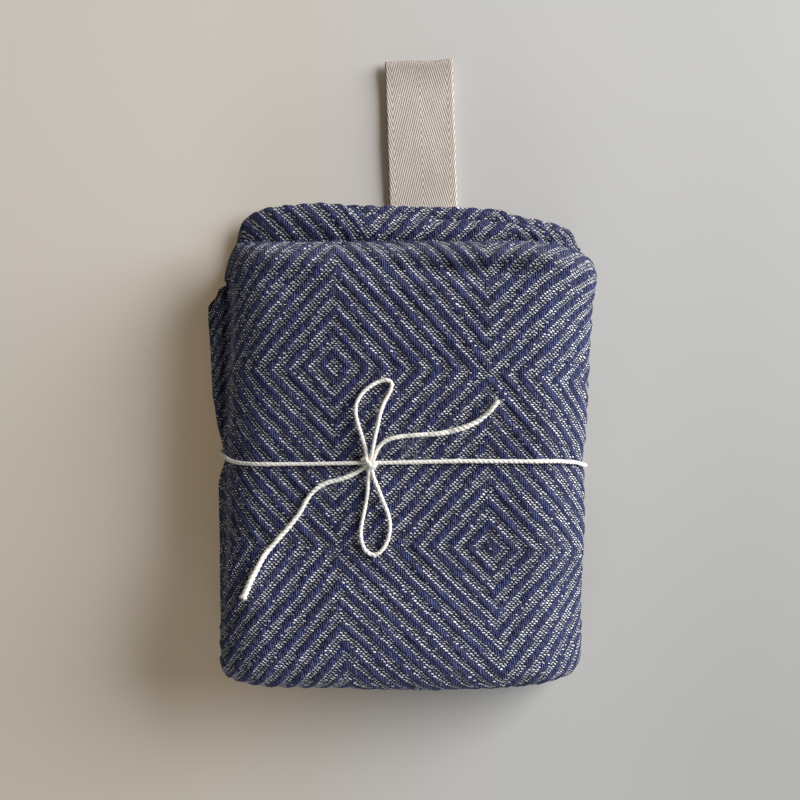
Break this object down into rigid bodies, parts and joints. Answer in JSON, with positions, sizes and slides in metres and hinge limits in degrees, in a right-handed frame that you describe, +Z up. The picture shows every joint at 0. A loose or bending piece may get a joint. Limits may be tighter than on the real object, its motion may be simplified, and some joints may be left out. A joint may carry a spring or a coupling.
{
  "type": "folded linen towel",
  "caption": "Linen towel folded into a soft stack of plies, with a tape hanging loop, tied round with twine in a bow.",
  "frame": {"origin": "middle of the bounding box of the cloth and its hanging loop, on the surface that the bundle lies on", "axes": "+Z up, +Y along the bundle towards the hanging loop, +X across the bundle"},
  "size_m": [0.1362, 0.2256, 0.043],
  "materials": {
    "blue_linen": "indigo and off-white diamond twill, matt and slubby",
    "ecru_tape": "undyed cotton herringbone tape, matt",
    "cream_twine": "two-ply cotton twine, matt and slightly hairy"
  },
  "bodies": {
    "root": {"cloth": "blue_linen", "hanging_loop": "ecru_tape", "tie_band": "cream_twine", "bow_knot": "cream_twine", "bow_loop_upper": "cream_twine", "bow_loop_lower": "cream_twine", "tail_upper": "cream_twine", "tail_lower": "cream_twine"}
  },
  "joints": []
}
